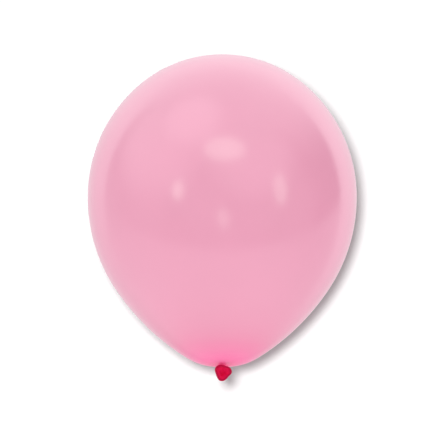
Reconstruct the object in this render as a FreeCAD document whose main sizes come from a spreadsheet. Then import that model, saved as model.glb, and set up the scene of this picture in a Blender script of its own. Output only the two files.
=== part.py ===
import FreeCAD, Part
import math
import os

import Sketcher
from FreeCAD import Placement, Rotation, Vector

# A round latex party balloon, inflated and tied, standing crown up. Millimetres.
# +Z runs along the axis to the crown. The origin is on the axis at the tied neck,
# in the middle of the groove that a ribbon goes round. The tail leaves the knot along -Y.
#
# The real balloon is one dipped film. Each stretch of it that keeps its own shape is a
# solid here, and the solids meet where the film flexes, with a small running gap:
#   envelope, neck_collar, knot_wrap, knot_core, tail_tube, rolled_lip

SHEET_ROWS = [
    # alias, value, meaning
    ("bulb_width", 280, "diameter at the equator"),
    ("crown_radius", 133, "arc over the crown"),
    ("upper_flank_radius", 155, "arc from the crown down to the equator"),
    ("lower_flank_radius", 175, "arc below the equator"),
    ("lower_flank_turn", 34, "degrees turned by that arc"),
    ("shoulder_radius", 250, "flatter arc that narrows to the base"),
    ("shoulder_turn", 24, "degrees turned by that arc"),
    ("base_radius", 52, "blunt base above the neck"),
    ("base_turn", 26, "degrees turned by that arc"),
    ("film_wall", 0.4, "stand-in wall of the envelope"),
    ("neck_fillet", 2.5, "turn from the base down into the neck"),
    ("neck_radius", 4.2, "gathered neck"),
    ("neck_top", 1.3, "height where the fillet meets the neck"),
    ("envelope_end", 1.1, "lower edge of the envelope"),
    ("running_gap", 0.3, "between solids that move on each other"),
    ("spigot_top", 3.2, "height of the collar's end inside the envelope"),
    ("collar_bottom", 0.9, "lower edge of the neck groove, below the origin"),
    ("swing_drop", 1.8, "depth of the point that the knot swings about"),
    ("swing_ball", 2.0, "ball end of the collar"),
    ("ball_rise", 18, "degrees above level where the ball starts"),
    ("knot_drop", 6.6, "depth of the knot's centre"),
    ("wrap_ring", 3.0, "centre line of the strand that wraps the knot"),
    ("wrap_strand", 1.8, "radius of that strand"),
    ("wrap_tilt", 16, "degrees between each turn and the knot's plane"),
    ("core_radius", 1.8, "strand drawn through the wrap"),
    ("core_clearance", 0.1, "between the strand and the wrap"),
    ("core_rear", 3.6, "end of the strand's straight part behind the knot"),
    ("core_front", 2.4, "end of the strand's straight part in front"),
    ("core_waist", 1.0, "strand where it meets its ball end"),
    ("tail_pivot", 5.5, "point that the tail flexes about, in front of the knot"),
    ("tail_ball", 1.5, "ball end of the strand"),
    ("tail_start", 5.8, "root of the tail, from the knot's centre"),
    ("tail_throat", 9.0, "where the tail starts to flare"),
    ("tail_floor", 8.0, "where the tube's hollow starts"),
    ("tail_end", 15.2, "end of the tube, behind the lip"),
    ("tail_wall", 0.8, "gathered film of the tail"),
    ("root_corner", 2.2, "corner radius of the tail's section at its root"),
    ("root_spread", 0.2, "distance of those corners from the axis"),
    ("throat_corner", 2.6, "corner radius at the throat"),
    ("throat_spread", 0.8, "distance of those corners from the axis"),
    ("lip_corner", 4.7, "corner radius of the lip's centre line"),
    ("lip_spread", 3.6, "distance of those corners from the axis"),
    ("lip_bead", 1.1, "radius of the rolled bead"),
    ("lip_plane", 16.4, "centre of the bead, from the knot's centre"),
    ("throat_lift", 0.6, "rise of the throat above the root"),
    ("mouth_lift", 2.0, "rise of the mouth above the root"),
    ("mouth_roll", -10, "degrees that the mouth is turned about the tail"),
]

doc = FreeCAD.newDocument("balloon")
sheet = doc.addObject("Spreadsheet::Sheet", "Sheet")
for row, (alias, value, meaning) in enumerate(SHEET_ROWS, start=1):
    sheet.set(f"A{row}", meaning)
    sheet.set(f"B{row}", str(value))
    sheet.setAlias(f"B{row}", alias)
doc.recompute()


def size(alias):
    """A driving dimension's value, for placing geometry before its constraints bind it."""
    return float(sheet.get(alias))


def polar(centre, radius, degrees):
    turn = math.radians(degrees)
    return Vector(centre.x + radius * math.cos(turn), centre.y + radius * math.sin(turn), 0)


def new_body(name):
    body = doc.addObject("PartDesign::Body", name)
    body.Label = name
    return body


def new_sketch(body, name, plane="XZ_Plane"):
    """A sketch on one of the body's own origin planes."""
    sketch = body.newObject("Sketcher::SketchObject", name)
    own_plane = next(f for f in body.Origin.OriginFeatures if f.Role == plane)
    sketch.AttachmentSupport = [(own_plane, "")]
    sketch.MapMode = "FlatFace"
    return sketch


def bind(sketch, kind, refs, value, expression):
    """Adds a dimension and ties it to the sheet."""
    index = sketch.addConstraint(Sketcher.Constraint(kind, *refs, value))
    sketch.setExpression(f"Constraints[{index}]", expression)


def relate(sketch, kind, *refs):
    sketch.addConstraint(Sketcher.Constraint(kind, *refs))


def arc(sketch, centre, radius, start, end, expression=None):
    """An anticlockwise arc from one angle to another, in degrees, and its radius if bound."""
    circle = Part.Circle(centre, Vector(0, 0, 1), radius)
    shape = Part.ArcOfCircle(circle, math.radians(start), math.radians(end))
    index = sketch.addGeometry(shape, False)
    if expression:
        bind(sketch, "Radius", [index], radius, expression)
    return index


def line(sketch, start, end):
    return sketch.addGeometry(Part.LineSegment(start, end), False)


# Which point of a sketch element a constraint means, and the sketch's own axes.
START, END, CENTRE = 1, 2, 3
ORIGIN = (-1, 1)
VERTICAL_AXIS = -2


def revolve(body, sketch, kind="PartDesign::Revolution"):
    """Turns the sketch once about the body's Z axis, to add or to cut."""
    feature = body.newObject(kind, f"{sketch.Name}_turned")
    feature.Profile = sketch
    feature.ReferenceAxis = (sketch, ["V_Axis"])
    feature.Angle = 360
    sketch.Visibility = False
    body.Tip = feature
    return feature


def bulb_sketch(body, name, inset, inset_words, end, end_words):
    """Half of the bulb's section, moved inwards by inset: six tangent arcs and a straight.

    The chain starts on the axis at the crown and comes down to the neck.
    """
    sketch = new_sketch(body, name)
    half_width = size("bulb_width") / 2
    flank_end = -size("lower_flank_turn")
    shoulder_end = flank_end - size("shoulder_turn")
    base_end = shoulder_end - size("base_turn")

    # centres from the equator down, with the equator at height 0 for now
    upper = Vector(half_width - size("upper_flank_radius"), 0, 0)
    lower = Vector(half_width - size("lower_flank_radius"), 0, 0)
    shoulder = polar(lower, size("lower_flank_radius") - size("shoulder_radius"), flank_end)
    base = polar(shoulder, size("shoulder_radius") - size("base_radius"), shoulder_end)
    crown_gap = size("upper_flank_radius") - size("crown_radius")
    crown = Vector(0, math.sqrt(crown_gap**2 - upper.x**2), 0)
    crown_start = math.degrees(math.atan2(crown.y, -upper.x))

    # the straight leaves the base arc and meets the fillet, whose centre is known across
    fillet_x = size("neck_radius") + size("neck_fillet")
    base_foot = polar(base, size("base_radius"), base_end)
    fillet_top = polar(Vector(fillet_x, 0, 0), size("neck_fillet"), base_end + 180)
    slope = math.tan(math.radians(base_end + 90))
    fillet_top_y = base_foot.y + (fillet_top.x - base_foot.x) * slope
    rise = size("neck_top") - (fillet_top_y - fillet_top.y)

    def raised(centre):
        return centre + Vector(0, rise, 0)

    def inside(alias):
        return size(alias) - inset, f"Sheet.{alias} - {inset_words}"

    fillet = Vector(fillet_x, size("neck_top"), 0)
    arcs = [
        arc(sketch, raised(crown), inside("crown_radius")[0], crown_start, 90,
            inside("crown_radius")[1]),
        arc(sketch, raised(upper), inside("upper_flank_radius")[0], 0, crown_start,
            inside("upper_flank_radius")[1]),
        arc(sketch, raised(lower), inside("lower_flank_radius")[0], flank_end, 0,
            inside("lower_flank_radius")[1]),
        arc(sketch, raised(shoulder), inside("shoulder_radius")[0], shoulder_end, flank_end,
            inside("shoulder_radius")[1]),
        arc(sketch, raised(base), inside("base_radius")[0], base_end, shoulder_end,
            inside("base_radius")[1]),
    ]
    neck_x = size("neck_radius") - inset
    fillet_radius = size("neck_fillet") + inset
    straight = line(
        sketch,
        polar(raised(base), inside("base_radius")[0], base_end),
        polar(fillet, fillet_radius, base_end + 180),
    )
    turn = arc(sketch, fillet, fillet_radius, base_end + 180, 180,
               f"Sheet.neck_fillet + {inset_words}")
    neck = line(sketch, Vector(neck_x, size("neck_top"), 0), Vector(neck_x, end, 0))
    foot = line(sketch, Vector(neck_x, end, 0), Vector(0, end, 0))
    top = raised(crown).y + inside("crown_radius")[0]
    axis = line(sketch, Vector(0, end, 0), Vector(0, top, 0))

    for above, below in zip(arcs, arcs[1:]):
        relate(sketch, "Tangent", above, START, below, END)
    relate(sketch, "Tangent", arcs[-1], START, straight, START)
    relate(sketch, "Tangent", straight, END, turn, START)
    relate(sketch, "Tangent", turn, END, neck, START)
    relate(sketch, "Coincident", neck, END, foot, START)
    relate(sketch, "Coincident", foot, END, axis, START)
    relate(sketch, "Coincident", axis, END, arcs[0], END)
    relate(sketch, "PointOnObject", arcs[0], CENTRE, VERTICAL_AXIS)
    relate(sketch, "PointOnObject", axis, START, VERTICAL_AXIS)
    relate(sketch, "PointOnObject", axis, END, VERTICAL_AXIS)
    relate(sketch, "Horizontal", arcs[2], CENTRE, arcs[2], END)
    relate(sketch, "Vertical", neck)
    relate(sketch, "Horizontal", foot)
    for index, alias in zip(arcs[2:], ("lower_flank_turn", "shoulder_turn", "base_turn")):
        bind(sketch, "Angle", [index], math.radians(size(alias)), f"Sheet.{alias} * 1 deg")
    bind(sketch, "DistanceX", [*ORIGIN, arcs[2], END], half_width - inset,
         f"Sheet.bulb_width / 2 - {inset_words}")
    bind(sketch, "DistanceX", [*ORIGIN, neck, START], neck_x,
         f"Sheet.neck_radius - {inset_words}")
    bind(sketch, "DistanceY", [*ORIGIN, neck, START], size("neck_top"), "Sheet.neck_top")
    bind(sketch, "DistanceY", [*ORIGIN, neck, END], end, end_words)
    return sketch


def make_envelope():
    """The inflated bulb: a closed shell, open only at the neck, that holds the gas."""
    body = new_body("envelope")
    outside = bulb_sketch(body, "bulb_outside", 0, "0", size("envelope_end"),
                          "Sheet.envelope_end")
    revolve(body, outside)
    # the hollow runs on past the lower edge, so that the neck is left open
    past_edge = size("envelope_end") - size("film_wall")
    hollow = bulb_sketch(body, "bulb_hollow", size("film_wall"), "Sheet.film_wall",
                         past_edge, "Sheet.envelope_end - Sheet.film_wall")
    revolve(body, hollow, "PartDesign::Groove")
    return body


def make_neck_collar():
    """The gathered film: a spigot in the envelope's neck, the ribbon groove, a ball end."""
    body = new_body("neck_collar")
    sketch = new_sketch(body, "collar_section")
    spigot = size("neck_radius") - size("film_wall") - size("running_gap")
    shoulder = size("envelope_end") - size("running_gap")
    pivot = Vector(0, -size("swing_drop"), 0)
    rise = size("ball_rise")
    ball_start = polar(pivot, size("swing_ball"), rise)
    ball_foot = polar(pivot, size("swing_ball"), -90)
    corners = [
        Vector(0, size("spigot_top"), 0),
        Vector(spigot, size("spigot_top"), 0),
        Vector(spigot, shoulder, 0),
        Vector(size("neck_radius"), shoulder, 0),
        Vector(size("neck_radius"), -size("collar_bottom"), 0),
        ball_start,
    ]
    edges = [line(sketch, a, b) for a, b in zip(corners, corners[1:])]
    ball = arc(sketch, pivot, size("swing_ball"), -90, rise, "Sheet.swing_ball")
    axis = line(sketch, ball_foot, corners[0])
    top, spigot_side, ledge, side, cone = edges
    for first, second in zip(edges, edges[1:]):
        relate(sketch, "Coincident", first, END, second, START)
    relate(sketch, "Coincident", cone, END, ball, END)
    relate(sketch, "Coincident", ball, START, axis, START)
    relate(sketch, "Coincident", axis, END, top, START)
    for index in (top, ledge):
        relate(sketch, "Horizontal", index)
    for index in (spigot_side, side):
        relate(sketch, "Vertical", index)
    relate(sketch, "PointOnObject", axis, START, VERTICAL_AXIS)
    relate(sketch, "PointOnObject", axis, END, VERTICAL_AXIS)
    relate(sketch, "PointOnObject", ball, CENTRE, VERTICAL_AXIS)
    bind(sketch, "Angle", [ball], math.radians(rise + 90), "(Sheet.ball_rise + 90) * 1 deg")
    bind(sketch, "DistanceX", [*ORIGIN, spigot_side, START], spigot,
         "Sheet.neck_radius - Sheet.film_wall - Sheet.running_gap")
    bind(sketch, "DistanceX", [*ORIGIN, side, START], size("neck_radius"), "Sheet.neck_radius")
    bind(sketch, "DistanceY", [*ORIGIN, top, START], size("spigot_top"), "Sheet.spigot_top")
    bind(sketch, "DistanceY", [*ORIGIN, side, START], shoulder,
         "Sheet.envelope_end - Sheet.running_gap")
    bind(sketch, "DistanceY", [side, END, *ORIGIN], size("collar_bottom"),
         "Sheet.collar_bottom")
    bind(sketch, "DistanceY", [ball, CENTRE, *ORIGIN], size("swing_drop"), "Sheet.swing_drop")
    revolve(body, sketch)
    return body


def along_tail(feature, roll=0):
    """Puts a piece made about its own Z axis on the knot, with that axis along -Y.

    The piece's own Y axis then points up, and roll turns it about the tail.
    """
    turned = Rotation(Vector(1, 0, 0), 90) * Rotation(Vector(0, 0, 1), roll)
    feature.Placement = Placement(Vector(0, 0, -size("knot_drop")), turned)
    feature.setExpression("Placement.Base.z", "-Sheet.knot_drop")


def make_knot_wrap():
    """The strand that goes round the knot: two crossing turns, a seat and a strand hole."""
    turns = []
    for side, name in ((1, "front_turn"), (-1, "back_turn")):
        ring = doc.addObject("Part::Torus", name)
        ring.setExpression("Radius1", "Sheet.wrap_ring")
        ring.setExpression("Radius2", "Sheet.wrap_strand")
        ring.Placement = Placement(Vector(), Rotation(Vector(1, 0, 0), side * size("wrap_tilt")))
        ring.setExpression("Placement.Rotation.Angle", "Sheet.wrap_tilt * 1 deg")
        if side < 0:
            ring.setExpression("Placement.Rotation.Axis.x", "-1")
        turns.append(ring)
    both = doc.addObject("Part::Fuse", "crossed_turns")
    both.Base, both.Tool = turns

    seat = doc.addObject("Part::Sphere", "neck_seat")
    seat.setExpression("Radius", "Sheet.swing_ball + Sheet.running_gap")
    seat.setExpression("Placement.Base.y", "Sheet.knot_drop - Sheet.swing_drop")
    hole = doc.addObject("Part::Cylinder", "strand_hole")
    hole.setExpression("Radius", "Sheet.core_radius + Sheet.core_clearance")
    hole.setExpression("Height", "4 * Sheet.wrap_ring")
    hole.setExpression("Placement.Base.z", "-2 * Sheet.wrap_ring")
    cuts = doc.addObject("Part::Fuse", "seat_and_hole")
    cuts.Base, cuts.Tool = seat, hole

    wrap = doc.addObject("Part::Cut", "knot_wrap")
    wrap.Base, wrap.Tool = both, cuts
    wrap.Label = "knot_wrap"
    along_tail(wrap)
    return wrap


def make_knot_core():
    """The strand drawn through the wrap, from its rounded rear end to its ball end."""
    body = new_body("knot_core")
    sketch = new_sketch(body, "strand_section")
    radius, waist = size("core_radius"), size("core_waist")
    rear = Vector(0, -size("core_rear"), 0)
    pivot = Vector(0, size("tail_pivot"), 0)
    ball_radius = size("tail_ball")
    waist_angle = -math.degrees(math.acos(waist / ball_radius))
    ball_foot = polar(pivot, ball_radius, waist_angle)

    cap = arc(sketch, rear, radius, -90, 0, "Sheet.core_radius")
    side = line(sketch, rear + Vector(radius, 0, 0), Vector(radius, size("core_front"), 0))
    cone = line(sketch, Vector(radius, size("core_front"), 0), ball_foot)
    ball = arc(sketch, pivot, ball_radius, waist_angle, 90, "Sheet.tail_ball")
    axis = line(sketch, pivot + Vector(0, ball_radius, 0), rear - Vector(0, radius, 0))
    relate(sketch, "Tangent", cap, END, side, START)
    relate(sketch, "Coincident", side, END, cone, START)
    relate(sketch, "Coincident", cone, END, ball, START)
    relate(sketch, "Coincident", ball, END, axis, START)
    relate(sketch, "Coincident", axis, END, cap, START)
    relate(sketch, "Vertical", side)
    for index in (cap, ball):
        relate(sketch, "PointOnObject", index, CENTRE, VERTICAL_AXIS)
    for end in (START, END):
        relate(sketch, "PointOnObject", axis, end, VERTICAL_AXIS)
    bind(sketch, "DistanceY", [cap, CENTRE, *ORIGIN], size("core_rear"), "Sheet.core_rear")
    bind(sketch, "DistanceY", [*ORIGIN, side, END], size("core_front"), "Sheet.core_front")
    bind(sketch, "DistanceY", [*ORIGIN, ball, CENTRE], size("tail_pivot"), "Sheet.tail_pivot")
    bind(sketch, "DistanceX", [*ORIGIN, cone, END], waist, "Sheet.core_waist")
    revolve(body, sketch)
    along_tail(body)
    return body


def mouth_sketch(body, name, height_words, lift_words, spread, corner):
    """A round-cornered triangle, point down, square to the body's Z axis.

    height_words places it along the axis and lift_words above the axis. spread and corner
    are each a value and the words that bind it.
    """
    sketch = new_sketch(body, name, "XY_Plane")
    sketch.setExpression("AttachmentOffset.Base.z", height_words)
    sketch.setExpression("AttachmentOffset.Base.y", lift_words)
    radius = corner[0]
    corners = [polar(Vector(), spread[0], degrees) for degrees in (30, 150, 270)]
    arcs = []
    for centre, middle in zip(corners, (30, 150, 270)):
        arcs.append(arc(sketch, centre, radius, middle - 60, middle + 60, corner[1]))
    sides = []
    for step, middle in enumerate((90, 210, 330)):
        near, far = corners[step], corners[(step + 1) % 3]
        sides.append(line(sketch, polar(near, radius, middle), polar(far, radius, middle)))
    for step in range(3):
        relate(sketch, "Tangent", arcs[step], END, sides[step], START)
        relate(sketch, "Tangent", sides[step], END, arcs[(step + 1) % 3], START)
    relate(sketch, "Horizontal", sides[0])
    # the first two corners stand level, spread from the middle, and the last is on the axis
    bind(sketch, "DistanceX", [*ORIGIN, arcs[0], CENTRE], corners[0].x,
         f"{spread[1]} * cos(30 deg)")
    bind(sketch, "DistanceX", [arcs[1], CENTRE, *ORIGIN], corners[0].x,
         f"{spread[1]} * cos(30 deg)")
    bind(sketch, "DistanceY", [*ORIGIN, arcs[0], CENTRE], corners[0].y,
         f"{spread[1]} * sin(30 deg)")
    bind(sketch, "DistanceY", [arcs[2], CENTRE, *ORIGIN], spread[0], spread[1])
    relate(sketch, "PointOnObject", arcs[2], CENTRE, VERTICAL_AXIS)
    return sketch


def loft(body, kind, name, sections):
    feature = body.newObject(kind, name)
    feature.Profile = sections[0]
    feature.Sections = sections[1:]
    body.Tip = feature
    return feature


def make_tail_tube():
    """The open end of the neck beyond the knot, flaring from a round root to its mouth."""
    body = new_body("tail_tube")
    half_wall = size("tail_wall") / 2

    def section(name, height, lift, place, half_walls):
        """A section of the tube, its corner radius moved by so many half walls."""
        spread = (size(f"{place}_spread"), f"Sheet.{place}_spread")
        radius = size(f"{place}_corner") + half_walls * half_wall
        words = f"Sheet.{place}_corner + {half_walls} * Sheet.tail_wall / 2"
        return mouth_sketch(body, name, f"Sheet.{height}", lift, spread, (radius, words))

    throat_lift, mouth_lift = "Sheet.throat_lift", "Sheet.mouth_lift"
    outside = [
        section("root_outside", "tail_start", "0", "root", 0),
        section("throat_outside", "tail_throat", throat_lift, "throat", 1),
        section("mouth_outside", "tail_end", mouth_lift, "lip", 1),
    ]
    loft(body, "PartDesign::AdditiveLoft", "tube_outside", outside)
    hollow = [
        section("floor_hollow", "tail_floor", throat_lift, "throat", -2),
        section("mouth_hollow", "tail_end", mouth_lift, "lip", -1),
    ]
    loft(body, "PartDesign::SubtractiveLoft", "tube_hollow", hollow)

    # the seat for the strand's ball end
    seat = new_sketch(body, "ball_seat")
    radius = size("tail_ball") + size("running_gap")
    pivot = Vector(0, size("tail_pivot"), 0)
    half = arc(seat, pivot, radius, -90, 90, "Sheet.tail_ball + Sheet.running_gap")
    axis = line(seat, pivot + Vector(0, radius, 0), pivot - Vector(0, radius, 0))
    relate(seat, "Coincident", half, END, axis, START)
    relate(seat, "Coincident", axis, END, half, START)
    relate(seat, "PointOnObject", half, CENTRE, VERTICAL_AXIS)
    relate(seat, "PointOnObject", axis, START, VERTICAL_AXIS)
    relate(seat, "PointOnObject", axis, END, VERTICAL_AXIS)
    bind(seat, "DistanceY", [*ORIGIN, half, CENTRE], size("tail_pivot"), "Sheet.tail_pivot")
    revolve(body, seat, "PartDesign::Groove")
    along_tail(body, size("mouth_roll"))
    return body


def make_rolled_lip():
    """The bead that the mouth's edge is rolled into, a round section swept round the mouth."""
    body = new_body("rolled_lip")
    spread = (size("lip_spread"), "Sheet.lip_spread")
    corner = (size("lip_corner"), "Sheet.lip_corner")
    path = mouth_sketch(body, "lip_path", "Sheet.lip_plane", "Sheet.mouth_lift", spread, corner)
    section = new_sketch(body, "bead_section", "YZ_Plane")
    # the mouth's upper side crosses the body's YZ plane square on
    side = size("lip_spread") / 2 + size("lip_corner") + size("mouth_lift")
    centre = Vector(side, size("lip_plane"), 0)
    circle = Part.Circle(centre, Vector(0, 0, 1), size("lip_bead"))
    bead = section.addGeometry(circle, False)
    bind(section, "Radius", [bead], size("lip_bead"), "Sheet.lip_bead")
    bind(section, "DistanceX", [*ORIGIN, bead, CENTRE], side,
         "Sheet.lip_spread / 2 + Sheet.lip_corner + Sheet.mouth_lift")
    bind(section, "DistanceY", [*ORIGIN, bead, CENTRE], size("lip_plane"), "Sheet.lip_plane")
    pipe = body.newObject("PartDesign::AdditivePipe", "bead")
    pipe.Profile = section
    pipe.Spine = path
    body.Tip = pipe
    along_tail(body, size("mouth_roll"))
    return body


def check_and_write(pieces):
    """Stops on a failed feature or a bad shape, and only then writes each piece."""
    doc.recompute()
    for item in doc.Objects:
        if {"Invalid", "Error"} & set(item.State):
            raise RuntimeError(f"{item.Name} failed: {item.State}")
    os.makedirs("parts", exist_ok=True)
    for piece in pieces:
        shape = piece.Shape
        if shape.isNull() or not shape.isValid() or len(shape.Solids) != 1:
            raise RuntimeError(f"{piece.Label} isn't one valid solid")
    for piece in pieces:
        piece.Shape.exportStep(f"parts/{piece.Label}.step")
        box = piece.Shape.BoundBox
        low = [round(v, 2) for v in (box.XMin, box.YMin, box.ZMin)]
        high = [round(v, 2) for v in (box.XMax, box.YMax, box.ZMax)]
        print(f"{piece.Label}: {piece.Shape.Volume:.1f} mm3, {low} to {high}")


check_and_write([
    make_envelope(),
    make_neck_collar(),
    make_knot_wrap(),
    make_knot_core(),
    make_tail_tube(),
    make_rolled_lip(),
])
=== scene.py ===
import math

import bmesh
import bpy
import numpy as np
from mathutils import Matrix, Quaternion, Vector


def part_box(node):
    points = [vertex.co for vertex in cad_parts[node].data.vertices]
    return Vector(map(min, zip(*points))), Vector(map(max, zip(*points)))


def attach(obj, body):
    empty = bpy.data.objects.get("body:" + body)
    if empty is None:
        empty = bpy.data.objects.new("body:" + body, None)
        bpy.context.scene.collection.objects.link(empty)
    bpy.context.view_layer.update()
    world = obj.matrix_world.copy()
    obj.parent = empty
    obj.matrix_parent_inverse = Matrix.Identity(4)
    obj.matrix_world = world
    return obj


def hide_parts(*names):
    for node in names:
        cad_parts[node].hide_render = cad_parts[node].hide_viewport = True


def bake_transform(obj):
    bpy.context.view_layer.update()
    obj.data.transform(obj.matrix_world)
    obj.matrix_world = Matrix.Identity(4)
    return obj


# A knotted latex balloon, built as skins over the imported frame. Metres, and the frame's axes:
# +Z to the crown, the tail along -Y, the origin at the tied neck.

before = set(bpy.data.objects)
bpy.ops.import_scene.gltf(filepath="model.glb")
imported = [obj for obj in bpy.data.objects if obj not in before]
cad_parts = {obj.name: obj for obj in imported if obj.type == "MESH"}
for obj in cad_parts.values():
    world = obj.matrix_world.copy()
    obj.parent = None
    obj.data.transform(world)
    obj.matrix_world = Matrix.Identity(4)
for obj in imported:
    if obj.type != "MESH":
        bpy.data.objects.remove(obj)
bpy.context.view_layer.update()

MM = 0.001
envelope_low, envelope_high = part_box("envelope")
_, collar_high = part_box("neck_collar")
wrap_low, wrap_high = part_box("knot_wrap")
lip_low, lip_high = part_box("rolled_lip")

BULB_RADIUS = envelope_high.x
NECK_RADIUS = collar_high.x
KNOT = (wrap_low + wrap_high) / 2 + Vector((0, 0, 0.2 * MM))
MOUTH = (lip_low + lip_high) / 2
LIP_BEAD = (lip_high.y - lip_low.y) / 2
TAU = 2 * math.pi


# ---------------------------------------------------------------- meshes

def mesh_object(name, points, faces, slack):
    """A smooth-shaded mesh whose vertices carry how slack the film is, from 0 to 1."""
    mesh = bpy.data.meshes.new(name)
    mesh.from_pydata(points.tolist(), [], faces)
    work = bmesh.new()
    work.from_mesh(mesh)
    bmesh.ops.recalc_face_normals(work, faces=work.faces)
    work.to_mesh(mesh)
    work.free()
    mesh.shade_smooth()
    layer = mesh.attributes.new("slack", "FLOAT", "POINT")
    layer.data.foreach_set("value", np.asarray(slack, np.float32))
    piece = bpy.data.objects.new(name, mesh)
    bpy.context.scene.collection.objects.link(piece)
    return piece


def skin(name, rings, slack, closed_ring=False):
    """Quads over rings of points, shape (rings, around, 3), with a fan over each end.

    With closed_ring the last ring joins the first, as on a bead, and there are no ends.
    """
    count, around = rings.shape[:2]
    points = rings.reshape(-1, 3)
    values = np.repeat(slack, around)
    faces = []
    for ring in range(count if closed_ring else count - 1):
        near, far = ring * around, (ring + 1) % count * around
        for step in range(around):
            after = (step + 1) % around
            faces.append((near + step, near + after, far + after, far + step))
    if not closed_ring:
        ends = rings[[0, -1]].mean(axis=1)
        points = np.vstack([points, ends])
        values = np.append(values, [slack[0], slack[-1]])
        first, last, base = count * around, count * around + 1, (count - 1) * around
        for step in range(around):
            after = (step + 1) % around
            faces.append((after, step, first))
            faces.append((base + step, base + after, last))
    return mesh_object(name, points, faces, values)


def smoothstep(x, low, high):
    """0 below low and 1 above high, with a smooth S between."""
    t = np.clip((x - low) / (high - low), 0, 1)
    return t * t * (3 - 2 * t)


def transported_frames(path):
    """A side and an up vector at each point of a path, turned no more than the path turns."""
    tangents = np.gradient(path, axis=0)
    tangents /= np.linalg.norm(tangents, axis=1)[:, None]
    up = np.array([0.0, 0.0, 1.0])
    if abs(tangents[0] @ up) > 0.9:
        up = np.array([0.0, -1.0, 0.0])
    sides, ups = [], []
    for tangent in tangents:
        up = up - (up @ tangent) * tangent
        up /= np.linalg.norm(up)
        ups.append(up)
        sides.append(np.cross(up, tangent))
    return np.array(sides), np.array(ups)


def swept(path, radii):
    """Rings round a path. radii is (rings, around), the section's radius at each angle."""
    sides, ups = transported_frames(path)
    angles = np.arange(radii.shape[1]) * TAU / radii.shape[1]
    across = np.cos(angles)[None, :, None] * sides[:, None, :]
    upward = np.sin(angles)[None, :, None] * ups[:, None, :]
    return path[:, None, :] + radii[:, :, None] * (across + upward)


# ---------------------------------------------------------------- the bulb

# The outline from the crown to the neck: (radius in mm, degrees turned), as arcs.
OUTLINE = [(133, 43), (155, 47), (175, 34), (250, 24), (52, 26)]
OUTLINE_STEP = 0.1
SOFTENING = 7.0  # mm over which one arc's curvature passes into the next's
STRAIGHT = 6.8  # mm of straight outline between the last arc and the fillet
FILLET_RADIUS = 2.5  # from the base down into the neck
SLEEVE = 1.6  # mm that the run down the neck is longer than the envelope's end is high
TUCK, TUCK_REACH = 0.12, 0.7  # mm that the film's end is drawn in, and over what length
BULB_AROUND = 304  # points in each of the bulb's rings
PLEATED = 46.0  # mm of outline next to the neck with rings close enough for pleats
OVAL = 0.0012  # how far the bulb is from round

PLEATS = 19
PLEAT_DEPTH, PLEAT_REACH = 0.42, 9.0  # deep pleats close to the neck
CREASE_DEPTH, CREASE_REACH = 0.06, 11.0  # and faint creases that run further up
NECK_TURN, TURN_REACH = 0.5, 12.0  # radians the pleats are wound round at the neck

# How slack the film is, from 0, fully stretched, to 1, as dipped.
NECK_SLACK = 0.68  # where the neck is tied
KNOT_SLACK = 0.9
# the bead's slack picks its dark colour, which is partly painted shade
LIP_SLACK = 1.0
CROWN_SLACK, CROWN_REACH = 0.2, 11.0
SLACK_FADES = [(0.3, 12.0), (0.8, 30.0)]  # it fades from the neck in parts: (share, reach in mm)
SLACK_EDGE = 12.0  # mm from the neck, where the parts have these shares


def outline():
    """The bulb's outline as (distance along, radius, height) rows in mm, from the crown.

    The arcs' curvature is softened where they meet, and then added up along the outline.
    """
    curvature = np.concatenate([
        np.full(int(radius * math.radians(turn) / OUTLINE_STEP), 1 / radius)
        for radius, turn in OUTLINE
    ])
    reach = int(3 * SOFTENING / OUTLINE_STEP)
    offsets = np.arange(-reach, reach + 1) * OUTLINE_STEP
    kernel = np.exp(-0.5 * (offsets / SOFTENING) ** 2)
    padded = np.pad(curvature, reach, mode="edge")
    soft = np.convolve(padded, kernel / kernel.sum(), mode="valid")
    soft *= curvature.sum() / soft.sum()
    down_turn = math.radians(sum(turn for _, turn in OUTLINE) - 90)
    fillet_count = int(FILLET_RADIUS * down_turn / OUTLINE_STEP)
    neck_run = (envelope_low.z / MM + SLEEVE) / OUTLINE_STEP
    curvature = np.concatenate([
        soft,
        np.zeros(int(STRAIGHT / OUTLINE_STEP)),
        np.full(fillet_count, -down_turn / fillet_count / OUTLINE_STEP),
        np.zeros(int(neck_run)),
    ])
    heading = np.cumsum(curvature) * OUTLINE_STEP
    radius = np.cumsum(np.cos(heading)) * OUTLINE_STEP
    height = -np.cumsum(np.sin(heading)) * OUTLINE_STEP
    # fit the equator and the neck exactly, and hang the outline from the crown
    bulb, neck = BULB_RADIUS / MM, NECK_RADIUS / MM
    widest = radius.max()
    inner = radius[-1]
    down = np.arange(len(radius)) > radius.argmax()
    upper = radius * bulb / widest
    lower = neck + (radius - inner) * (bulb - neck) / (widest - inner)
    radius = np.where(down, lower, upper)
    height = height + envelope_high.z / MM
    along = np.arange(len(radius)) * OUTLINE_STEP
    return np.stack([along, radius, height], axis=1)


def pleat_wave(angles, turn):
    """Gathered film: rounded ridges with sharp valleys between, unevenly spaced, from -1 to 0."""
    uneven = 0.35 * np.sin(3 * angles + 0.7) + 0.22 * np.sin(5 * angles + 2.1)
    wave = np.abs(np.sin((PLEATS * (angles + turn) + uneven * 3) / 2))
    return np.sqrt(wave) - 1


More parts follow.
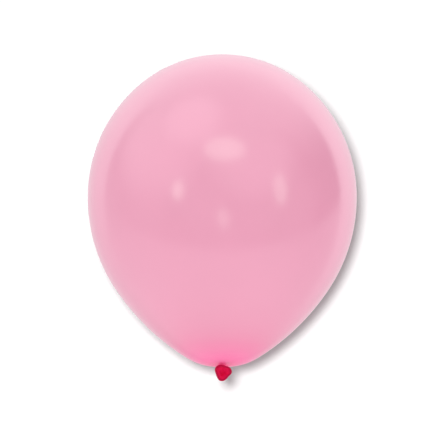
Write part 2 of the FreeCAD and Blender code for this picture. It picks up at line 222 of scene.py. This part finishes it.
def make_bulb():
    """The stretched film from the crown down into the gathered neck."""
    rows = outline()
    length = rows[-1, 0]
    # where along the outline each ring of points lies: close at the crown, closest at the neck
    marks = np.concatenate([
        np.arange(0.6, 12, 1.9),
        np.arange(12, length - PLEATED, 3.6),
        np.arange(length - PLEATED, length - 14, 1.0),
        np.arange(length - 14, length, 0.35),
    ])
    radius = np.interp(marks, rows[:, 0], rows[:, 1])
    height = np.interp(marks, rows[:, 0], rows[:, 2])
    angles = np.arange(BULB_AROUND) * TAU / BULB_AROUND
    to_neck = length - marks
    # outward normal of the outline
    slope_r, slope_z = np.gradient(radius, marks), np.gradient(height, marks)
    size = np.hypot(slope_r, slope_z)
    normal_r, normal_z = -slope_z / size, slope_r / size
    depth = PLEAT_DEPTH * np.exp(-((to_neck / PLEAT_REACH) ** 1.5))
    depth += CREASE_DEPTH * np.exp(-to_neck / CREASE_REACH)
    depth *= smoothstep(radius, 2.0, 4.0)
    turn = NECK_TURN * np.exp(-to_neck / TURN_REACH)
    wave = pleat_wave(angles[None, :], turn[:, None])
    # a real bulb is never quite round
    oval = 1 + OVAL * np.cos(2 * angles + 0.6)[None, :] * smoothstep(radius, 20, 90)[:, None]
    tuck = TUCK * (1 - smoothstep(to_neck, 0.0, TUCK_REACH))
    ring_r = (radius - tuck)[:, None] * oval + depth[:, None] * wave * normal_r[:, None]
    ring_z = height[:, None] + depth[:, None] * wave * normal_z[:, None]
    rings = np.stack([
        ring_r * np.cos(angles)[None, :],
        ring_r * np.sin(angles)[None, :],
        ring_z,
    ], axis=2) * MM
    reach = np.hypot(radius, height)  # from the neck, in mm
    slack = sum(share * np.exp(-(reach - SLACK_EDGE) / fade) for share, fade in SLACK_FADES)
    slack /= (1 + (slack / NECK_SLACK) ** 4) ** 0.25  # levels off at NECK_SLACK
    slack *= smoothstep(-height, -130, -40)
    crown = CROWN_SLACK * np.exp(-((marks / CROWN_REACH) ** 2))
    return skin("bulb_film", rings, np.maximum(slack, crown))


# ---------------------------------------------------------------- neck and knot

NECK_TOP = 1.2  # mm above the origin, inside the bulb's film
NECK_END = 2.2  # mm above the knot's middle, inside its wrap
NECK_INSET = 0.35  # mm between the neck's film and the outside of the bulb's
NECK_TAPER = 1.3  # mm that it narrows by on its way into the knot
SLEEVE_END = 0.32  # the share of its length that the bulb's film covers


def make_neck():
    """The gathered film from inside the bulb's end down into the knot's wrap."""
    count, around = 40, 120
    t = np.linspace(0, 1, count)
    bottom = KNOT.z / MM + NECK_END
    path = np.stack([
        -0.2 * t**2,
        -0.9 * t**2,
        NECK_TOP + (bottom - NECK_TOP) * t,
    ], axis=1)
    angles = np.arange(around) * TAU / around
    body = NECK_RADIUS / MM - NECK_INSET - NECK_TAPER * smoothstep(t, 0.45, 1.0)
    body += 0.25 * np.exp(-((t - 0.36) / 0.12) ** 2)  # fills out the end of the bulb's film
    depth = 0.5 * (1 - 0.5 * t)
    free = np.maximum(t - SLEEVE_END, 0)
    wave = pleat_wave(angles[None, :], (NECK_TURN + 0.3 * free + 0.8 * free**2)[:, None])
    radii = body[:, None] + depth[:, None] * wave
    slack = NECK_SLACK + (KNOT_SLACK - NECK_SLACK) * smoothstep(t, 0.15, 0.9)
    return skin("neck_gather", swept(path, radii) * MM, slack)


def strand_section(t, around, radius, phase):
    """A strand of bunched film: a soft oval with lengthwise wrinkles that drift along it."""
    angles = np.arange(around)[None, :] * TAU / around
    along = t[:, None]
    wrinkles = 0.05 * np.sin(7 * angles + 5 * along + phase)
    wrinkles += 0.035 * np.sin(11 * angles - 8 * along + 2 * phase)
    wrinkles += 0.03 * np.sin(3 * angles + 14 * along)
    return radius[:, None] * (1 + wrinkles)


WRAP_START, WRAP_SWEEP = 118, 452  # degrees round the knot: where the turn starts, its length
WRAP_RING = 2.75  # mm from the knot's middle to the strand's
WRAP_STRAND = 1.66  # radius of the strand in mm
CORE_STRAND = 1.72
CORE_REAR, CORE_FRONT = 3.1, 4.4  # mm behind and in front of the knot that the core reaches
CORE_BEND = 200  # degrees that it turns back behind the wrap


def make_wrap():
    """The strand that comes from the neck, goes once round the tail and dives in behind."""
    count, around = 150, 44
    t = np.linspace(0, 1, count)
    angle = np.radians(WRAP_START - WRAP_SWEEP * t)
    ring = WRAP_RING - 1.75 * smoothstep(t, 0.8, 1.0)
    pitch = -1.35 + 2.7 * smoothstep(t, 0.05, 0.85) + 1.2 * smoothstep(t, 0.82, 1.0)
    # the two ends of the turn lie on each other at the top, one in front of the other
    path = np.stack([
        ring * 1.08 * np.cos(angle) + KNOT.x / MM,
        pitch + KNOT.y / MM,
        ring * 0.96 * np.sin(angle) + KNOT.z / MM,
    ], axis=1)
    radius = WRAP_STRAND + 0.1 * np.sin(9 * t) - 0.5 * smoothstep(t, 0.9, 1.0)
    radius -= 0.5 * (1 - smoothstep(t, 0.0, 0.08))
    radii = strand_section(t * 6, around, radius, 0.4)
    return skin("knot_wrap_strand", swept(path, radii) * MM, np.full(count, KNOT_SLACK))


def make_core():
    """The strand that turns back behind the wrap and comes forward through it."""
    count, around = 70, 40
    t = np.linspace(0, 1, count)
    bend = np.radians(CORE_BEND * (1 - smoothstep(t, 0.0, 0.42)))
    aside = (1 - np.cos(bend)) / 2
    forward = smoothstep(t, 0.3, 1.0) * (CORE_REAR + CORE_FRONT)
    path = np.stack([
        1.3 * aside,
        CORE_REAR + 0.9 * np.sin(bend) - forward,
        KNOT.z / MM + 0.8 * aside,
    ], axis=1)
    radius = CORE_STRAND + 0.1 * np.sin(7 * t)
    radii = strand_section(t * 3, around, radius, 2.2)
    return skin("knot_core_strand", swept(path, radii) * MM, np.full(count, KNOT_SLACK))


# ---------------------------------------------------------------- tail and lip

# The mouth's outline is a rounded triangle. Its corners are arcs of radius LIP_CORNER about
# points LIP_SPREAD from its middle, in mm.
LIP_SPREAD, LIP_CORNER = 3.6, 4.7
MOUTH_ROLL = math.radians(-14)
# (direction, half width) in degrees of the folds in the film inside the mouth
MOUTH_LOBES = [(160, 34), (42, 36), (240, 30), (322, 26)]
TAIL_ROOT = -2.6  # mm along Y, inside the knot
ROOT_RADIUS = 1.75
MOUTH_DEPTH = 3.4  # mm that the film's pursed middle lies behind the edge of the mouth


def rounded_triangle(angles, spread, corner):
    """Distance from the middle to a round-cornered triangle's outline, by direction.

    Its corners stand at 30, 150 and 270 degrees, turned by the mouth's roll.
    """
    turned = angles - MOUTH_ROLL - math.radians(30)
    third = TAU / 3
    local = (turned + third / 2) % third - third / 2
    arc_ends = math.atan2(corner * math.sin(third / 2), spread + corner * math.cos(third / 2))
    on_arc = spread * np.cos(local) + np.sqrt(corner**2 - (spread * np.sin(local)) ** 2)
    on_side = (spread / 2 + corner) / np.cos(third / 2 - np.abs(local))
    return np.where(np.abs(local) < arc_ends, on_arc, on_side)


def lip_radius(angles):
    """The bead's centre line, with the slight unevenness of a rolled edge."""
    even = rounded_triangle(angles, LIP_SPREAD, LIP_CORNER)
    lifted = 0.4 * np.cos(angles - math.radians(99)) - 0.2
    return even + lifted + 0.12 * np.sin(4 * angles + 0.9) + 0.07 * np.sin(7 * angles + 2.0)


def lip_ripple(angles):
    """How far the bead stands back from the mouth's plane, in mm."""
    return 0.42 * np.sin(3 * angles + 1.1) + 0.22 * np.sin(5 * angles - 0.6)


def lobes(angles):
    """Where the pursed film inside the mouth bulges forward, from 0 to 1."""
    total = np.zeros_like(angles)
    for middle, width in MOUTH_LOBES:
        apart = (angles - math.radians(middle) + math.pi) % TAU - math.pi
        total += np.exp(-((apart / math.radians(width)) ** 2))
    return np.clip(total, 0, 1)


def make_tail():
    """The neck's open end: out of the knot, flaring to the lip, and pursed shut inside it."""
    around = 168
    angles = np.arange(around) * TAU / around
    mouth = lip_radius(angles)
    centre_x, lip_y, centre_z = MOUTH / MM
    knot_z = KNOT.z / MM
    rings, slack = [], []

    def ring(radius, y, share):
        """A ring at y whose middle is that share of the way from the knot's axis to the mouth's."""
        x = share * centre_x + radius * np.cos(angles)
        z = knot_z + share * (centre_z - knot_z) + radius * np.sin(angles)
        rings.append(np.stack([x, y + np.zeros(around), z], axis=1))
        slack.append(KNOT_SLACK)

    # outside, from the knot to the lip
    for t in np.linspace(0, 1, 46):
        flare = smoothstep(t, 0.25, 1.0) * 0.75 + 0.25 * t
        folds = 0.34 * np.sin(math.pi * min(1.0, 1.15 * t)) * t
        shape = ROOT_RADIUS * (1 - flare) + mouth * flare
        shape = shape - folds * (np.sqrt(np.abs(np.sin(4.5 * angles + 0.8 * t))) * 1.6)
        y = TAIL_ROOT + (lip_y + 0.2 - TAIL_ROOT) * t + flare**3 * lip_ripple(angles)
        ring(shape, y, smoothstep(t, 0.15, 0.95))
    # inside, from the lip to the pursed middle
    bulge = lobes(angles)
    for t in np.linspace(0.04, 1, 30):
        inward = mouth * (1 - t) ** 0.85 * (1 - 0.1 * np.sin(math.pi * t) * (1 - bulge))
        fold = 1.15 * bulge * np.sin(math.pi * min(1.0, 1.25 * t)) ** 0.8
        hollow = 0.5 + MOUTH_DEPTH * t**2.4 - fold
        y = lip_y + hollow + (1 - t) * lip_ripple(angles)
        ring(inward + 0.12, y, 1.0)
    return skin("tail_film", np.array(rings) * MM, np.array(slack))


def make_lip():
    """The rolled bead round the mouth, with the seam where the roll ends inside it."""
    count, around = 220, 28
    angles = np.arange(count) * TAU / count
    reach = lip_radius(angles)
    path = np.stack([
        MOUTH.x / MM + reach * np.cos(angles),
        MOUTH.y / MM + lip_ripple(angles),
        MOUTH.z / MM + reach * np.sin(angles),
    ], axis=1)
    outward = np.stack([np.cos(angles), np.zeros(count), np.sin(angles)], axis=1)
    forward = np.array([0.0, -1.0, 0.0])
    turn = np.arange(around) * TAU / around
    thick = LIP_BEAD / MM * (0.97 + 0.05 * np.sin(5 * angles) + 0.03 * np.sin(13 * angles + 1))
    seam = 1 - 0.16 * np.exp(-(((turn - math.radians(150)) / math.radians(13)) ** 2))
    across = np.cos(turn)[None, :, None] * outward[:, None, :]
    front = np.sin(turn)[None, :, None] * forward[None, None, :]
    rings = path[:, None, :] + (thick[:, None] * seam[None, :])[:, :, None] * (across + front)
    return skin("lip_bead", rings * MM, np.full(count, LIP_SLACK), closed_ring=True)


# ---------------------------------------------------------------- materials

def colour_ramp(nodes, stops):
    """A smooth run of colours through the stops, each (place from 0 to 1, colour)."""
    ramp = nodes.new("ShaderNodeValToRGB")
    ramp.color_ramp.interpolation = "B_SPLINE"
    elements = ramp.color_ramp.elements
    while len(elements) < len(stops):
        elements.new(0.5)
    for element, (place, colour) in zip(elements, stops):
        element.position = place
        element.color = (*colour, 1)
    return ramp


def noise(nodes, links, coordinates, scale, detail):
    """Smooth noise over the object's own coordinates, with that many features to the metre."""
    node = nodes.new("ShaderNodeTexNoise")
    node.inputs["Scale"].default_value = scale
    node.inputs["Detail"].default_value = detail
    links.new(coordinates, node.inputs["Vector"])
    return node.outputs["Fac"]


NOISE_LOW, NOISE_HIGH = 0.3, 0.7  # a noise keeps mostly within this range


def spread(nodes, links, value, low, high):
    """Maps a noise's range on to low..high."""
    node = nodes.new("ShaderNodeMapRange")
    node.inputs["From Min"].default_value = NOISE_LOW
    node.inputs["From Max"].default_value = NOISE_HIGH
    node.inputs["To Min"].default_value = low
    node.inputs["To Max"].default_value = high
    links.new(value, node.inputs["Value"])
    return node.outputs["Result"]


# Latex from fully stretched to slack, as linear colours.
PALE_PINK = (0.81, 0.35, 0.487)
ROSE = (0.775, 0.215, 0.36)
HOT_PINK = (0.99, 0.1, 0.385)
DEEP_PINK = (0.78, 0.02, 0.11)
CRIMSON = (0.8, 0.002, 0.062)
# the rolled bead: deeper in colour as thicker latex, and darker still as painted shade for the
# shade on its rounded edges
BEAD_CRIMSON_AND_SHADE = (0.42, 0.004, 0.05)

LATEX_IOR = 1.52
SHINE_SCALE, UNEVENNESS = 26.0, 0.025  # how the roughness wanders over the film
PUCKERING = 2.25  # the power of the slackness with which the shine dies away
CRINKLE_SCALE = 3000.0
CRINKLES = (0.2, 1.8)  # the least and the most of the dulling that a crinkle takes
GRAIN_SCALE = 900.0


def latex(name, roughness, dulling, gloss, bump, mottle, mottle_scale):
    """Natural latex film, whose colour deepens as it is less stretched; on the rolled bead it is
    darker still, as painted shade.

    dulling is how much rougher it gets as it puckers, gloss the specular level, and bump the
    height of the fine surface texture in metres.
    """
    material = bpy.data.materials.new(name)
    material.use_nodes = True
    nodes, links = material.node_tree.nodes, material.node_tree.links
    shader = nodes["Principled BSDF"]
    coordinates = nodes.new("ShaderNodeTexCoord").outputs["Object"]
    slack = nodes.new("ShaderNodeAttribute")
    slack.attribute_name = "slack"
    ramp = colour_ramp(nodes, [
        (0.0, PALE_PINK), (0.22, ROSE), (0.62, HOT_PINK), (0.78, DEEP_PINK), (0.88, CRIMSON),
        (1.0, BEAD_CRIMSON_AND_SHADE),
    ])
    links.new(slack.outputs["Fac"], ramp.inputs["Fac"])

    # faint clouds where the film is a little thicker or thinner
    clouds = spread(nodes, links, noise(nodes, links, coordinates, mottle_scale, detail=5.0),
                    1 - mottle, 1 + mottle)
    tint = nodes.new("ShaderNodeVectorMath")
    tint.operation = "SCALE"
    links.new(ramp.outputs["Color"], tint.inputs[0])
    links.new(clouds, tint.inputs["Scale"])
    links.new(tint.outputs["Vector"], shader.inputs["Base Color"])

    # The shine is a little uneven, and dies away where the film has puckered. It does so in fine
    # crinkles, so that no line shows where one finish passes into the other.
    uneven = spread(nodes, links, noise(nodes, links, coordinates, SHINE_SCALE, detail=4.0),
                    roughness - UNEVENNESS, roughness + UNEVENNESS)
    puckered = nodes.new("ShaderNodeMath")
    puckered.operation = "POWER"
    links.new(slack.outputs["Fac"], puckered.inputs[0])
    puckered.inputs[1].default_value = PUCKERING
    crinkles = spread(nodes, links, noise(nodes, links, coordinates, CRINKLE_SCALE, detail=0.0),
                      CRINKLES[0] * dulling, CRINKLES[1] * dulling)
    rough = nodes.new("ShaderNodeMath")
    rough.operation = "MULTIPLY_ADD"
    links.new(puckered.outputs["Value"], rough.inputs[0])
    links.new(crinkles, rough.inputs[1])
    links.new(uneven, rough.inputs[2])
    links.new(rough.outputs["Value"], shader.inputs["Roughness"])

    grain = noise(nodes, links, coordinates, GRAIN_SCALE, detail=2.0)
    relief = nodes.new("ShaderNodeBump")
    relief.inputs["Strength"].default_value = 1.0
    relief.inputs["Distance"].default_value = bump
    links.new(grain, relief.inputs["Height"])
    links.new(relief.outputs["Normal"], shader.inputs["Normal"])

    shader.inputs["IOR"].default_value = LATEX_IOR
    shader.inputs["Specular IOR Level"].default_value = gloss
    return material


def plain_white(name, albedo, glow, one_sided=False):
    """A pale matt surface with some light of its own; one-sided, it can't be seen from behind."""
    material = bpy.data.materials.new(name)
    material.use_nodes = True
    nodes, links = material.node_tree.nodes, material.node_tree.links
    shader = nodes["Principled BSDF"]
    shader.inputs["Base Color"].default_value = (albedo, albedo, albedo, 1)
    shader.inputs["Roughness"].default_value = 1.0
    shader.inputs["Specular IOR Level"].default_value = 0.0
    shader.inputs["Emission Color"].default_value = (1, 1, 1, 1)
    shader.inputs["Emission Strength"].default_value = glow
    if one_sided:
        facing = nodes.new("ShaderNodeNewGeometry").outputs["Backfacing"]
        mix = nodes.new("ShaderNodeMixShader")
        clear = nodes.new("ShaderNodeBsdfTransparent")
        links.new(facing, mix.inputs["Fac"])
        links.new(shader.outputs["BSDF"], mix.inputs[1])
        links.new(clear.outputs["BSDF"], mix.inputs[2])
        links.new(mix.outputs["Shader"], nodes["Material Output"].inputs["Surface"])
    return material


# ---------------------------------------------------------------- camera, stage and lights

CAMERA_DISTANCE = 2.5
CAMERA_ELEVATION = math.radians(-12)
VIEW_WIDTH = 0.458  # of the scene, at the balloon
AIM = Vector((-0.0023, 0, 0.1575))


def from_camera_axis(azimuth, elevation):
    """The direction so many degrees right of and above the way from the balloon to the camera."""
    across, up = math.radians(azimuth), math.radians(elevation)
    level = Vector((math.sin(across) * math.cos(up), -math.cos(across) * math.cos(up),
                    math.sin(up)))
    return Matrix.Rotation(-CAMERA_ELEVATION, 3, "X") @ level


def make_camera():
    """A long lens, from below the balloon and looking up at it."""
    data = bpy.data.cameras.new("camera")
    data.sensor_width = 36
    data.lens = data.sensor_width * CAMERA_DISTANCE / VIEW_WIDTH
    camera = bpy.data.objects.new("camera", data)
    back = from_camera_axis(0, 0)
    camera.location = AIM + back * CAMERA_DISTANCE
    camera.rotation_euler = (-back).to_track_quat("-Z", "Y").to_euler()
    data.clip_start, data.clip_end = 0.1, 30
    bpy.context.scene.collection.objects.link(camera)
    bpy.context.scene.camera = camera


def plane(name, width, depth, matrix, material):
    """A flat rectangle that belongs to the stage and not to the balloon."""
    half_w, half_d = width / 2, depth / 2
    corners = [(-half_w, -half_d, 0), (half_w, -half_d, 0), (half_w, half_d, 0),
               (-half_w, half_d, 0)]
    mesh = bpy.data.meshes.new(name)
    mesh.from_pydata(corners, [], [(0, 1, 2, 3)])
    mesh.materials.append(material)
    flat = bpy.data.objects.new(name, mesh)
    flat.matrix_world = matrix
    bpy.context.scene.collection.objects.link(flat)
    return flat


FLOOR_SIZE, FLOOR_HEIGHT = 8, -0.42
WALL_WIDTH, WALL_HEIGHT, WALL_MIDDLE = 0.62, 0.6, 0.16
WALL_GAP = 0.008  # behind the bulb
WALL_TURN = math.radians(-5)
WALL_GLOW = 0.115  # how bright the wall is in the balloon's shadow
# painted light: the middle of the balloon's shadow on the wall glows pink, standing in for light
# that came through the film
PAINTED_FILM_LIGHT = (0.62, 0.44, 0.5)
PAINTED_LIGHT_MIDDLE, PAINTED_LIGHT_REACH = (0.007, 0.045, 0), 0.135  # from the wall's middle, in its own axes


def paint_light_through_film(material, centre, reach):
    """The wall's own glow: dim, and round the centre a pink painted light, standing in for light
    that came through the film.
    """
    nodes, links = material.node_tree.nodes, material.node_tree.links
    shader = nodes["Principled BSDF"]
    apart = nodes.new("ShaderNodeVectorMath")
    apart.operation = "SUBTRACT"
    links.new(nodes.new("ShaderNodeTexCoord").outputs["Object"], apart.inputs[0])
    apart.inputs[1].default_value = centre
    distance = nodes.new("ShaderNodeVectorMath")
    distance.operation = "LENGTH"
    links.new(apart.outputs["Vector"], distance.inputs[0])
    share = nodes.new("ShaderNodeMapRange")
    share.interpolation_type = "SMOOTHSTEP"
    for socket, number in (("From Min", 0.3 * reach), ("From Max", reach), ("To Min", 1.0),
                           ("To Max", 0.0)):
        share.inputs[socket].default_value = number
    links.new(distance.outputs["Value"], share.inputs["Value"])
    tint = nodes.new("ShaderNodeMix")
    tint.data_type = "RGBA"
    links.new(share.outputs["Result"], tint.inputs["Factor"])
    tint.inputs["A"].default_value = (WALL_GLOW, WALL_GLOW, WALL_GLOW, 1)
    tint.inputs["B"].default_value = (*PAINTED_FILM_LIGHT, 1)
    links.new(tint.outputs["Result"], shader.inputs["Emission Color"])


def make_stage():
    """A pale floor, and a small white wall close behind that only takes the soft shadow."""
    floor = plane("floor", FLOOR_SIZE, FLOOR_SIZE, Matrix.Translation((0, 0, FLOOR_HEIGHT)),
                  plain_white("floor_paint", albedo=0.8, glow=0.3))
    floor.visible_glossy = False  # make_world has the floor that reflections see
    middle = Vector((0, BULB_RADIUS + WALL_GAP, WALL_MIDDLE))
    aside = Matrix.Rotation(WALL_TURN, 4, "Z")
    upright = Matrix.Translation(middle) @ aside @ Matrix.Rotation(math.radians(90), 4, "X")
    paint = plain_white("wall_paint", albedo=0.3, glow=1.0, one_sided=True)
    # painted light in the middle of the shadow, standing in for light through the film
    paint_light_through_film(paint, PAINTED_LIGHT_MIDDLE, PAINTED_LIGHT_REACH)
    wall = plane("wall", WALL_WIDTH, WALL_HEIGHT, upright, paint)
    # the film neither mirrors the wall nor is lit by it
    wall.visible_glossy = False
    wall.visible_diffuse = False
    return wall


BOX_COLOUR = (0.7, 1.0, 0.8)  # takes the pink cast off the highlights, which are creamy
BOX_AIM = Vector((0, 0, 0.18))  # near the middle of the bulb
LAMP_AZIMUTH, LAMP_ELEVATION = -2.5, 2.7
LAMP_SIZE, LAMP_POWER = 0.25, 162


def softbox(name, azimuth, elevation, width, height, power, roll=0, distance=1.6):
    """An oval light facing the middle of the bulb, placed by angle from the camera's axis."""
    data = bpy.data.lights.new(name, "AREA")
    data.shape = "ELLIPSE"
    data.size, data.size_y, data.energy = width, height, power
    data.color = BOX_COLOUR
    light = bpy.data.objects.new(name, data)
    away = from_camera_axis(azimuth, elevation)
    light.location = BOX_AIM + away * distance
    facing = (-away).to_track_quat("-Z", "Y")
    light.rotation_euler = (facing @ Quaternion((0, 0, 1), math.radians(roll))).to_euler()
    light.visible_diffuse = False  # it only makes a highlight
    bpy.context.scene.collection.objects.link(light)
    return light


def make_lights(wall):
    """Four boxes for the highlights on the film, and one lamp for the shadow on the wall."""
    boxes = [
        softbox("key_box", 2.2, 37.6, width=0.9, height=0.5, power=3.3),
        softbox("left_box", -36, 7.9, width=0.26, height=0.33, power=0.85, roll=-25),
        softbox("right_box", 48.2, 8.3, width=0.32, height=0.54, power=1.25, roll=14),
        softbox("low_box", 0.8, -9.6, width=0.19, height=0.24, power=0.3, roll=15, distance=1.2),
    ]
    # the boxes leave the wall alone
    not_lit = bpy.data.collections.new("not_lit_by_boxes")
    not_lit.objects.link(wall)
    not_lit.collection_objects[0].light_linking.link_state = "EXCLUDE"
    for light in boxes:
        light.light_linking.receiver_collection = not_lit

    # the lamp beside the camera throws the balloon's shadow on the wall, and lights only that
    data = bpy.data.lights.new("shadow_lamp", "AREA")
    data.shape = "DISK"
    data.size, data.energy = LAMP_SIZE, LAMP_POWER
    lamp = bpy.data.objects.new("shadow_lamp", data)
    away = from_camera_axis(LAMP_AZIMUTH, LAMP_ELEVATION)
    lamp.location = AIM + away * CAMERA_DISTANCE
    lamp.rotation_euler = (-away).to_track_quat("-Z", "Y").to_euler()
    lamp.visible_camera = False
    bpy.context.scene.collection.objects.link(lamp)
    lit = bpy.data.collections.new("lit_by_shadow_lamp")
    lit.objects.link(wall)
    lamp.light_linking.receiver_collection = lit


# What the balloon reflects: wide soft-edged patches, each (azimuth, elevation, angle at which
# it has faded out, angle within which it is full, brightness), in degrees from the camera's axis.
SURROUNDINGS = [
    (0, 90, 76, 23, 2.55),      # white ceiling
    (-46, 60, 38, 4, 3.85),     # its brightest corner, on the left
    (-62, 41, 59, 5, 2.8),      # pale wall on the left
    (24, 40, 56, 9, 2.4),       # dim glow round the lights in front
    (-64, 8, 46, 8, 1.4),       # the far side of the room, at eye level
    (-20, 10, 46, 8, 1.35),
    (34, 4, 40, 8, 1.15),
    (-32, -6, 90, 30, 1.0),     # the dim front of the room
    (-92, -2, 40, 14, 1.1),     # its sides, low down
    (52, -2, 42, 14, 0.85),
]
FRONT_GLOW = 0.15  # the room where no patch reaches
BLEND = 0.2  # how softly one patch passes into the next
# the white floor in front of the balloon and the white sweep behind it, which have crisp edges,
# each with a patch of another brightness within it
FLOOR, FLOOR_BRIGHTNESS = (180, -69, 82, 77), 1.1
FLOOR_PATCH = (-15, -45, 100, 30, 1.9)
SWEEP, SWEEP_BRIGHTNESS = (-179, 8, 62.5, 58.5), 2.4
SWEEP_PATCH = (-176, -22, 86, 12, 0.88)
FILL = 0.97  # the even light from all round, for all but reflections


def make_world():
    """White all round for the eye and for fill light; reflections see a room darker in front."""
    world = bpy.data.worlds.new("studio")
    bpy.context.scene.world = world
    world.use_nodes = True
    nodes, links = world.node_tree.nodes, world.node_tree.links
    background = nodes["Background"]
    looked_along = nodes.new("ShaderNodeTexCoord").outputs["Generated"]

    def patch(azimuth, elevation, outer, inner, brightness, outside):
        """The patch's brightness round its middle, passing into the outside value."""
        nearness = nodes.new("ShaderNodeVectorMath")
        nearness.operation = "DOT_PRODUCT"
        links.new(looked_along, nearness.inputs[0])
        nearness.inputs[1].default_value = from_camera_axis(azimuth, elevation)
        fade = nodes.new("ShaderNodeMapRange")
        fade.interpolation_type = "SMOOTHSTEP"
        for socket, number in (("From Min", math.cos(math.radians(outer))),
                               ("From Max", math.cos(math.radians(inner))),
                               ("To Min", outside), ("To Max", brightness)):
            fade.inputs[socket].default_value = number
        links.new(nearness.outputs["Value"], fade.inputs["Value"])
        return fade.outputs["Result"]

    def larger(first, second):
        """The brighter of the two, blended where they are nearly equal."""
        node = nodes.new("ShaderNodeMath")
        node.operation = "SMOOTH_MAX"
        node.inputs[2].default_value = BLEND
        links.new(first, node.inputs[0])
        links.new(second, node.inputs[1])
        return node.outputs["Value"]

    def choose(share, otherwise, when):
        """From the first value, where share is 0, to the second, where it is 1."""
        mix = nodes.new("ShaderNodeMix")
        mix.data_type = "FLOAT"
        links.new(share, mix.inputs["Factor"])
        for socket, value in (("A", otherwise), ("B", when)):
            if isinstance(value, float):
                mix.inputs[socket].default_value = value
            else:
                links.new(value, mix.inputs[socket])
        return mix.outputs["Result"]

    room = patch(*SURROUNDINGS[0], FRONT_GLOW)
    for surrounding in SURROUNDINGS[1:]:
        room = larger(room, patch(*surrounding, FRONT_GLOW))
    reflected = choose(patch(*FLOOR, 1.0, 0.0), room, patch(*FLOOR_PATCH, FLOOR_BRIGHTNESS))
    reflected = choose(patch(*SWEEP, 1.0, 0.0), reflected, patch(*SWEEP_PATCH, SWEEP_BRIGHTNESS))

    ray = nodes.new("ShaderNodeLightPath").outputs
    lighting = choose(ray["Is Glossy Ray"], FILL, reflected)
    links.new(choose(ray["Is Camera Ray"], lighting, 1.0), background.inputs["Strength"])
    background.inputs["Color"].default_value = (1, 1, 1, 1)


def set_finish(piece, material):
    """Gives a piece its material."""
    piece.data.materials.append(material)


def build():
    """The six pieces, each with its finish, the node it stands for and what it moves with."""
    stretched = latex("stretched_latex", roughness=0.195, dulling=0.4, gloss=0.5,
                      bump=0.000012, mottle=0.012, mottle_scale=14.0)
    gathered = latex("gathered_latex", roughness=0.5, dulling=0.0, gloss=0.35,
                     bump=0.00002, mottle=0.03, mottle_scale=260.0)
    slack = latex("slack_latex", roughness=0.5, dulling=0.0, gloss=0.06,
                  bump=0.00003, mottle=0.06, mottle_scale=420.0)

    bulb = make_bulb()
    set_finish(bulb, stretched)
    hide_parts("envelope")
    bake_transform(bulb)

    neck = make_neck()
    set_finish(neck, gathered)
    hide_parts("neck_collar")
    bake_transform(neck)

    wrap = make_wrap()
    core = make_core()
    for piece, node in ((wrap, "knot_wrap"), (core, "knot_core")):
        set_finish(piece, slack)
        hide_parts(node)
        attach(piece, "knot")

    tail = make_tail()
    set_finish(tail, slack)
    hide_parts("tail_tube")
    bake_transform(tail)

    lip = make_lip()
    set_finish(lip, slack)
    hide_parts("rolled_lip")
    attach(lip, "tail")

    # The bulb's film would mirror these as a dark smear above the mouth, so its mirror image
    # leaves them out.
    for piece in (wrap, core, tail, lip):
        piece.visible_glossy = False


bpy.context.scene.view_settings.view_transform = "Standard"
bpy.context.scene.view_settings.look = "None"
make_camera()
build()
make_lights(make_stage())
make_world()
